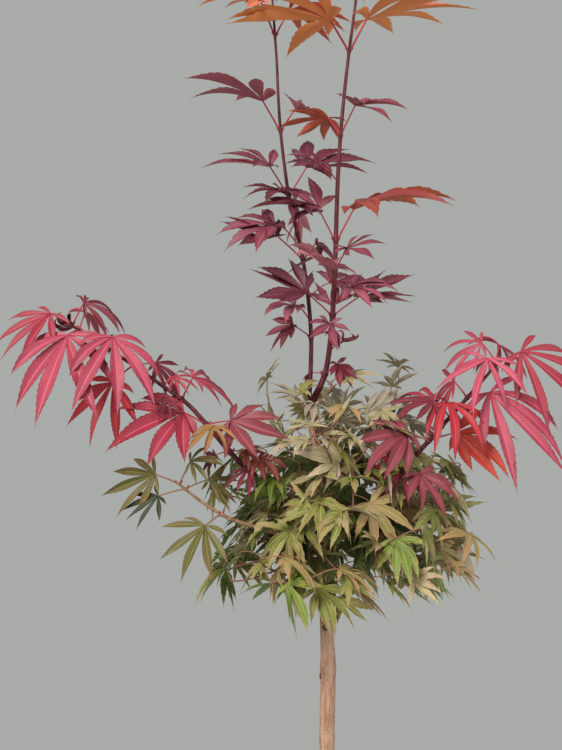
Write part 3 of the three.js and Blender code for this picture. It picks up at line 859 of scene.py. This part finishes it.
# %% Small leaves between the pairs
SMALL = {  # on each limb: height of the node, turn, way up or down, length, habit, tint
    "red_left_bough": (
        (1.092, 262, -0.5, 0.044, "hanging", "amber"), (1.06, 325, -0.4, 0.036, "broad", "russet"),
        (1.05, 240, -0.6, 0.036, "hanging", "claret"), (1.19, 190, -0.7, 0.034, "withered", "withered"),
        (1.142, 330, -0.6, 0.03, "hanging", "crimson")),
    "red_right_bough": (
        (1.045, 285, -0.6, 0.04, "hanging", "claret"), (1.112, 214, -0.1, 0.05, "hanging", "claret"),
        (1.156, 80, -0.2, 0.04, "hanging", "crimson")),
    "leader_left": (
        (1.212, 218, -0.1, 0.045, "drooping", "rosewood"), (1.236, 20, 0.2, 0.055, "drooping", "plum"),
        (1.322, 250, -0.1, 0.062, "drooping", "wine"), (1.29, 205, -0.3, 0.066, "drooping", "plum")),
    "leader_right": (
        (1.178, 8, 0.0, 0.03, "withered", "withered"), (1.225, 312, -0.2, 0.055, "drooping", "rosewood"),
        (1.238, 250, 0.5, 0.062, "drooping", "rosewood"), (1.352, 200, 0.2, 0.045, "level", "wine")),
}
SMALL_ROWS, SMALL_BEND = 16, 0.9
SMALL_OUT, SMALL_UP = 0.45, 0.3  # where a small blade starts, for its length


def row_at(limb, height):
    """The row of a limb's middle line that lies nearest to a height."""
    line = LIMBS[limb]
    return line[np.abs(line[:, 2] - height).argmin()]


def level_way(turn):
    """The level direction at so many degrees round the tree, from +X towards +Y."""
    return np.array([math.cos(math.radians(turn)), math.sin(math.radians(turn)), 0])


for limb, small in SMALL.items():
    leaves, stalks, sets = GROWS[limb]
    for height, turn, rise, length, habit, tint in small:
        row, way = row_at(limb, height), level_way(turn)
        base = row[:3] + way * length * SMALL_OUT + UP * (length * SMALL_UP)
        ahead, up = unit(way + UP * rise), unit(UP + TO_LIGHT * 0.7)
        form = dict(HABITS[habit], rows=SMALL_ROWS, bend=SMALL_BEND)
        leaves.leaf(base, ahead, up, length, rng, form, sets[tint])
        stalks.stalk(row[:3] + way * row[3] * STALK_FROM, way + UP, base, ahead, foot=0.0008, tip=0.0006)
print("small leaves:", {limb: len(small) for limb, small in SMALL.items()})

# %% [markdown]
# ## The head
# The head's leaves lie loosely over each other, closest low down and thin at the top, where sky shows
# between them. Places for them are dealt over the outside of each mass, never closer than a set
# distance, and a few leaves fill the inside. These stay green, and the darkest green among them is
# painted shade. An even grid of places would look like roof tiles, so they are dealt at random and
# those that fall too close are dropped.

# %% Deal out the leaf places
CROWN = sorted(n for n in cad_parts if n.startswith("crown_"))
TREES = {n: BVHTree.FromPolygons([v.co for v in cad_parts[n].data.vertices],
                                 [p.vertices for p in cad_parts[n].data.polygons]) for n in CROWN}
MIDDLE = np.array([0.012, 0.0, 1.0])  # of the head
SPACING = {"low": 0.0262, "mid": 0.0275, "top": 0.03, "sprig": 0.028}
OPEN_FRONT = ((-0.022, 0.004), (1.03, 1.07))  # x and height of the gap in which the leader's bough shows
COVER = 0.022  # a leaf is hidden by a mass that lies this near outside it
OUTWARD = 0.1  # least cosine between a place's direction and the way out of the head


def ring_of(mass):
    """Whether a mass belongs to the low, mid or top ring of the head, or is a sprig."""
    return mass.split("_")[1]


def buried(point, normal, own):
    """Whether other masses lie just outside a place on a mass, so that a leaf there would be hidden."""
    hits = {name: tree.ray_cast(point + normal * 0.001, normal, COVER)[0] for name, tree in TREES.items()}
    return any(name != own and hit is not None for name, hit in hits.items())


def in_open_front(point):
    """Whether a place lies in the gap at the front of the head."""
    (left, right), (low, high) = OPEN_FRONT
    return point[1] < 0 and left < point[0] < right and low < point[2] < high


def deal_places(seed, tries=300):
    """Places on the outside of the head: (mass, point, outward direction), apart from each other."""
    rng = np.random.default_rng(seed)
    places = []
    for name in CROWN:
        data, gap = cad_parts[name].data, SPACING[ring_of(name)]
        centre = corners(name).mean(0)
        areas = np.array([p.area for p in data.polygons])
        for _ in range(tries):
            face = data.polygons[rng.choice(len(areas), p=areas / areas.sum())]
            a, b, c = (np.array(data.vertices[v].co) for v in face.vertices[:3])
            u, v = rng.random(2)
            u, v = (1 - u, 1 - v) if u + v > 1 else (u, v)
            point = a + (b - a) * u + (c - a) * v
            normal = unit(0.5 * np.array(face.normal) + 0.5 * unit(point - centre))
            inward = normal @ unit(point - MIDDLE) < OUTWARD and ring_of(name) != "sprig"
            crowded = any(np.linalg.norm(point - other) < gap for _, other, _ in places)
            if not (inward or crowded or in_open_front(point) or buried(point, normal, name)):
                places.append((name, point, normal))
    return places


PLACES = deal_places(seed=5)
print("places for the head's leaves:", len(PLACES))

# %% A leaf of the head
HABITS["tiled"] = dict(  # broad plain lobes, spread wide
    HABITS["hanging"], section=PLAIN, rows=14, spread=0.98, slim=0.168, waist=0.42, widest=0.42, taper=2.0,
    teeth=0.055, fold=0.4, ripple=0.18, quilt=0.0, sway=0.13, twist=0.6, green_to=(0.2, 0.85))
PITCH = {"low": -0.62, "mid": -0.5, "top": -0.15, "sprig": 0.7}  # how far a leaf looks up or down
SMALLEST = 0.037  # length of a leaf's longest lobe
BIGGEST = {"low": 0.062, "mid": 0.064, "top": 0.058, "sprig": 0.05}
STRAY_ROUND, STRAY_TILT = 0.8, 0.35  # how far leaves stray from looking straight out of the head
BACK = 0.82  # a leaf starts this share of its length behind its place
STALK_LENGTH = (0.014, 0.024)
head_leaves = {ring: Leaves(GREEN_SKINS) for ring in ("low", "mid", "top")}
stalk_starts = []


def place_leaf(name, point, normal, rng, tint):
    """A leaf of the head whose blade ends near the point, with its stalk leading back into the head."""
    ring = ring_of(name)
    bearing = math.atan2(point[1] - MIDDLE[1], point[0] - MIDDLE[0]) + rng.normal(0, STRAY_ROUND)
    ahead = unit(np.array([math.cos(bearing), math.sin(bearing), PITCH[ring] + rng.normal(0, STRAY_TILT)]))
    up = unit(normal * 0.7 + UP * 0.6 + rng.normal(0, STRAY_TILT, 3))
    length = rng.uniform(SMALLEST, BIGGEST[ring])
    base = point - unit(ahead + DOWN * 0.3) * length * BACK
    habit = dict(HABITS["tiled"], bend=rng.uniform(0.2, 1.1))
    head_leaves["top" if ring == "sprig" else ring].leaf(base, ahead, up, length, rng, habit, GREEN[tint])
    start = base - unit(ahead + UP * 0.5) * rng.uniform(*STALK_LENGTH)
    stalk_starts.append((start, base, ahead))


print("longest lobes of the head's leaves:", SMALLEST, "to", max(BIGGEST.values()), "m")

# %% Shape the leaves of the head
MASS_TINTS = {  # what the leaves of each mass are dealt, the commonest first
    "low_front": "olive rust lime moss", "low_front_right": "olive rust lime peach",
    "low_front_left": "moss olive lime bronze", "low_back_right": "olive moss rust peach",
    "low_back": "moss olive bronze lime", "low_back_left": "moss olive moss bronze",
    "mid_front": "olive bronze lime rust", "mid_right": "bronze olive peach lime",
    "mid_left": "moss olive bronze fawn", "mid_back_right": "olive bronze moss peach",
    "mid_back_left": "moss olive bronze olive",
    "top_front_left": "fawn bronze ash rust", "top_right": "fawn bronze olive ash",
    "top_back": "ash bronze olive fawn",
    "sprig_left": "ash bronze fawn olive", "sprig_right": "ash fawn bronze olive",
}
SHARES = (0.4, 0.3, 0.18, 0.12)
# the leaves inside stay green; deep among them is painted shade
SHADE_TINTS = ("moss", "deep", "olive")
EVERY = 3  # one leaf stands inside for so many outside
INSIDE = 0.66  # how far out the leaves inside stand, for those outside

rng = np.random.default_rng(24)
for name, point, normal in PLACES:
    dealt = MASS_TINTS[name.removeprefix("crown_")].split()
    place_leaf(name, point, normal, rng, dealt[rng.choice(len(SHARES), p=SHARES)])
inner = [place for place in PLACES[::EVERY] if ring_of(place[0]) in ("low", "mid")]
for name, point, normal in inner:
    place_leaf(name, MIDDLE + (point - MIDDLE) * INSIDE, normal, rng, rng.choice(SHADE_TINTS))
print("leaves of the head:", len(stalk_starts), "of which inside:", len(inner))

# %% [markdown]
# ## Twigs
# A head's twigs fork from its boughs and end in stalks. Drawn by hand they would never meet every leaf,
# so they grow backwards: from the wood that is already there, always the nearest, to where the next
# stalk begins. How thick a twig is then follows from how many leaves it carries.

# %% Grow twigs to the stalks
WOOD_REACH = 0.15  # boughs bear the head's twigs this near to its middle
TURN_COST = 1.5  # each millimetre of twig costs this, less the cosine of its turn: straight on is cheapest
JOINED = 0.004  # a stalk that starts this near to wood needs no twig
TWIG_STEP = 0.006


def heading(line):
    """The way a line runs at each of its rows."""
    return [unit(way) for way in np.gradient(line[:, :3], axis=0)]


bough_rows = [(row[:3], way) for name in LIMB_NAMES if "bough" in name
              for row, way in zip(LIMBS[name], heading(LIMBS[name]))
              if np.linalg.norm(row[:3] - MIDDLE) < WOOD_REACH]
wood_points, wood_ways = [row for row, _ in bough_rows], [way for _, way in bough_rows]
parent, carries = [-1] * len(bough_rows), [0] * len(bough_rows)


def grow_twig(near, leap, gap, start, base):
    """A twig from point `near` of the wood to the start of a stalk. Gives the number of its last point."""
    steps = max(3, int(gap / TWIG_STEP) + 2)
    chain = arc(wood_points[near], unit(leap) + 0.7 * wood_ways[near], start,
                unit(leap) + 0.4 * unit(base - start), steps)
    for point, way in zip(chain[1:], heading(chain)[1:]):
        wood_points.append(point)
        wood_ways.append(way)
        parent.append(near)
        carries.append(0)
        near = len(wood_points) - 1
    return near


for start, base, ahead in sorted(stalk_starts, key=lambda stalk: np.linalg.norm(stalk[0] - HEAD)):
    leap = start - np.array(wood_points)
    gaps = np.linalg.norm(leap, axis=1)
    straight = (leap * np.array(wood_ways)).sum(1) / np.maximum(gaps, TINY)
    near = int((gaps * (TURN_COST - straight)).argmin())
    if gaps[near] > JOINED:
        near = grow_twig(near, leap[near], gaps[near], start, base)
    while near >= 0:
        carries[near] += 1
        near = parent[near]
    green_stalks.stalk(start, base - start + UP * 0.004, base, ahead, foot=0.0006, tip=0.00048)
print("points of boughs:", len(bough_rows), "and of twigs:", len(wood_points) - len(bough_rows))

# %% Cut the twigs into chains
FINEST = 0.00075  # radius of a twig that carries one leaf
GROWTH = 0.42  # power by which a twig thickens with its leaves

children = {}
for k, p in enumerate(parent):
    if p >= 0:
        children.setdefault(p, []).append(k)


def twig_radius(k):
    """The radius of the wood at its point k."""
    return FINEST * max(1, carries[k]) ** GROWTH


for p, kids in children.items():
    if p < len(bough_rows) or len(kids) > 1:  # a chain runs from a bough or a fork to the next fork
        for kid in kids:
            chain = [p, kid]
            while len(children.get(chain[-1], [])) == 1:
                chain += children[chain[-1]]
            twigs.add([wood_points[k] for k in chain], [twig_radius(k) for k in (kid, *chain[1:])])
print("twig chains:", len(twigs.points), "points")

# %% [markdown]
# ## Sweep the stalks and twigs
# Stalks and twigs are thin tubes that follow a path. Geometry Nodes turn chains of points into curves
# and draw a ring along them, as thick at each point as its attribute says. One tree serves every kind
# of thin wood.

# %% The sweeping tree
def new_group(name, **inputs):
    """A Geometry Nodes tree with these named inputs, and its entry."""
    tree = bpy.data.node_groups.new(name, "GeometryNodeTree")
    for label, kind in {"Geometry": "Geometry", **inputs, "Skin": "Material"}.items():
        tree.interface.new_socket(label, in_out="INPUT", socket_type="NodeSocket" + kind)
    tree.interface.new_socket("Geometry", in_out="OUTPUT", socket_type="NodeSocketGeometry")
    return tree, add_node(tree, "NodeGroupInput")


def close_group(tree, entry, last, output):
    """Ends a tree: smooth shading, instances made real, and the skin as its material."""
    kinds = ("GeometryNodeSetShadeSmooth", "GeometryNodeRealizeInstances", "GeometryNodeSetMaterial",
             "NodeGroupOutput")
    shade, real, paint, leave = (add_node(tree, kind) for kind in kinds)
    join(tree, (last, output, shade, "Geometry"), (shade, "Geometry", real, "Geometry"),
         (real, "Geometry", paint, "Geometry"), (entry, "Skin", paint, "Material"),
         (paint, "Geometry", leave, "Geometry"))
    return tree


def attribute_node(tree, name, kind):
    """A node that reads what store() kept for each point."""
    node = add_node(tree, "GeometryNodeInputNamedAttribute", Name=name)
    node.data_type = kind
    return node


def sweep_tree():
    """A tree that turns chains of edges into closed tubes of their own radius."""
    tree, entry = new_group("sweep_wood", Sides="Int")
    curve, radius = add_node(tree, "GeometryNodeMeshToCurve"), attribute_node(tree, "radius", "FLOAT")
    ring = add_node(tree, "GeometryNodeCurvePrimitiveCircle", Radius=1.0)
    tube = add_node(tree, "GeometryNodeCurveToMesh", Fill_Caps=True)
    join(tree, (entry, "Geometry", curve, "Mesh"), (curve, "Curve", tube, "Curve"),
         (entry, "Sides", ring, "Resolution"), (ring, "Curve", tube, "Profile Curve"),
         (radius, "Attribute", tube, "Scale"))
    return close_group(tree, entry, tube, "Mesh")


SWEEP = sweep_tree()
print("sweep tree:", len(SWEEP.nodes), "nodes")

# %% Sweep the thin wood
def grown(name, mesh, tree, **inputs):
    """A piece that a tree makes from a mesh: its result as a plain mesh, with no modifier left."""
    thing = stand(name, mesh)
    modifier = thing.modifiers.new(name, "NODES")
    modifier.node_group = tree
    names = {item.name: item.identifier for item in tree.interface.items_tree if item.in_out == "INPUT"}
    for key, value in inputs.items():
        modifier[names[key]] = value
    made = bpy.data.meshes.new_from_object(thing.evaluated_get(bpy.context.evaluated_depsgraph_get()))
    thing.modifiers.clear()
    thing.data = made
    print(name, len(made.polygons), "faces")
    return thing


def guide(name, points, edges, **values):
    """Points and edges for a tree to follow, with what it needs to know at each point."""
    mesh = bpy.data.meshes.new(name)
    mesh.from_pydata(np.array(points).tolist(), edges, [])
    for key, value in values.items():
        store(mesh, key, value)
    return mesh


RED_STALK = finish("red_stalk", (176, 52, 62), roughness=0.54, grain=900, relief=0.1, specular=0.32)
HEAD_STALK = finish("head_stalk", (150, 106, 80), roughness=0.56, grain=900, relief=0.1, specular=0.34)
TWIG_BARK = finish("twig_bark", (132, 94, 70), roughness=0.6, grain=800, relief=0.3)
for name, chains, skin, slot in (("red_leaf_stalks", red_stalks, RED_STALK, "red_leaf"),
                                 ("head_leaf_stalks", green_stalks, HEAD_STALK, "green_leaf"),
                                 ("head_twigs", twigs, TWIG_BARK, "green_bark")):
    paths = guide(name, chains.points, chains.edges, radius=chains.radii)
    pieces.append(grown(name, paths, SWEEP, Sides=6, Skin=skin))

# %% [markdown]
# ## Buds and pores
# A pair of small pointed buds sits above each pair of stalks, and the stem is dotted with pale raised
# pores. Both repeat one small shape many times, so Geometry Nodes set them out: the buds on given
# points, and the pores at random on the bark.

# %% Set out small shapes
def bead_tree(name, scattered):
    """A tree that stands a stretched bead on each point, or on points scattered over a mesh."""
    tree, entry = new_group(name, Thickness="Float", Length="Float", Density="Float", Seed="Int")
    bead = add_node(tree, "GeometryNodeMeshUVSphere", Segments=6, Rings=5, Radius=1.0)
    place, size = add_node(tree, "GeometryNodeInstanceOnPoints"), add_node(tree, "ShaderNodeCombineXYZ")
    turned = add_node(tree, "FunctionNodeAlignRotationToVector")
    turned.axis = "Z"
    if scattered:
        scatter = add_node(tree, "GeometryNodeDistributePointsOnFaces")
        join(tree, (entry, "Geometry", scatter, "Mesh"), (entry, "Density", scatter, "Density"),
             (entry, "Seed", scatter, "Seed"), (scatter, "Points", place, "Points"),
             (scatter, "Normal", turned, "Vector"))
    else:
        join(tree, (entry, "Geometry", place, "Points"),
             (attribute_node(tree, "way", "FLOAT_VECTOR"), "Attribute", turned, "Vector"))
    join(tree, (entry, "Thickness", size, "X"), (entry, "Thickness", size, "Y"), (entry, "Length", size, "Z"),
         (bead, "Mesh", place, "Instance"), (turned, "Rotation", place, "Rotation"),
         (size, "Vector", place, "Scale"))
    return close_group(tree, entry, place, "Instances")


BUD_RISE = 0.0022  # how far a bud stands up from its node
bud_points, bud_ways = [], []
for pair in (pair for pairs in PAIRS.values() for pair in pairs):
    way = np.array([*pair["way"], 0.0])
    bud_ways.append(unit(way * 0.7 + UP))
    bud_points.append(pair["heart"] + way * pair["radius"] + bud_ways[-1] * BUD_RISE)
BUD_SCALE = finish("bud_scale", (140, 54, 54), roughness=0.4, grain=900, relief=0.1)
buds = grown("buds", guide("bud_points", bud_points, [], way=bud_ways), bead_tree("buds", False),
             Skin=BUD_SCALE, Thickness=0.0009, Length=0.0025)
pieces.append(buds)

# %% Dot the stem with pores
BARE_FOOT = 0.01  # no pores lie lower than this, nor on the flat ends
PORE = finish("pore", (206, 178, 148), roughness=0.7, grain=900, relief=0.1)
stem_mesh = bpy.data.objects["stem_wood"].data
quads = [p.vertices for p in stem_mesh.polygons if len(p.vertices) == 4 and p.center.z > BARE_FOOT]
bark_area = bpy.data.meshes.new("bark_area")
bark_area.from_pydata([v.co for v in stem_mesh.vertices], [], quads)
pores = grown("pores", bark_area, bead_tree("pores", True),
              Skin=PORE, Thickness=0.00065, Length=0.0003, Density=26000.0, Seed=4)
pieces.append(pores)

# %% [markdown]
# ## Pruning scars
# Two side shoots were once cut from the stem, just under the head. Each cut has healed into a raised
# ring of bark round a dark hollow. It is a small dome of rings that follow the stem's curve, which also
# keeps it closed.

# %% Heal the cuts
# Each ring's distance from the middle and height above the bark, for a scar of size 1.
SCAR_RINGS = ((1.35, -0.7), (1.2, 0.15), (0.98, 0.42), (0.76, 0.34), (0.6, 0.08), (0.3, 0.0))
HEART_FROM = 3  # the ring at which the dark hollow starts
SCAR_SIDES = 20
SCAR_HEART = finish("scar_heart", (84, 60, 46), roughness=0.8, grain=900, relief=0.5)


def scar(name, height, turn, size):
    """A healed cut on the stem: a raised ring of bark round a dark hollow."""
    row, way = row_at("stem", height), level_way(turn)
    side = np.cross((0, 0, 1), way)
    points = []
    for out, rise in SCAR_RINGS:
        for a in circle(SCAR_SIDES):
            around = side * math.cos(a) + UP * 1.15 * math.sin(a)  # a little taller than wide
            wobble = 1 + 0.08 * math.sin(3 * a + size * 999)
            stands = size * (rise - 0.25 * (out * math.cos(a)) ** 2)  # its sides bend back with the stem
            points.append(row[:3] + way * (row[3] + stands) + around * size * out * wobble)
    faces = ring_faces(len(SCAR_RINGS), SCAR_SIDES)
    bands = [int(k // SCAR_SIDES >= HEART_FROM) for k in range(len(faces) - 2)] + [0, 1]
    print(name, len(faces), "faces")
    return mesh_object(name, points, faces, [STEM_BARK, SCAR_HEART], bands)


pieces += [scar("scar_upper", height=0.888, turn=255, size=0.0042),
           scar("scar_lower", height=0.838, turn=205, size=0.0032)]

# %% [markdown]
# ## The leaves as pieces
# Each kind of leaf becomes one mesh, because thousands of small objects would be slow to handle. Its
# mesh takes the place of the sprays or masses that it was grown from.

# %% Build the leaves
for name, leaves, slot, starts in (
        ("red_leaves", red_leaves, "red_leaf", ("red_left_leaves", "red_right_leaves")),
        ("leader_leaves", purple_leaves, "purple_leaf", ("leader_left_leaves", "leader_right_leaves")),
        ("green_shoot_leaves", green_shoot_leaves, "green_leaf", ("green_left_leaves",)),
        ("head_leaves_low", head_leaves["low"], "green_leaf", ("crown_low",)),
        ("head_leaves_mid", head_leaves["mid"], "green_leaf", ("crown_mid",)),
        ("head_leaves_top", head_leaves["top"], "green_leaf", ("crown_top", "crown_sprig"))):
    piece = leaves.build(name)
    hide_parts(*[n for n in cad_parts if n.startswith(starts)])
    pieces.append(piece)

for piece in pieces:
    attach(piece, "root")
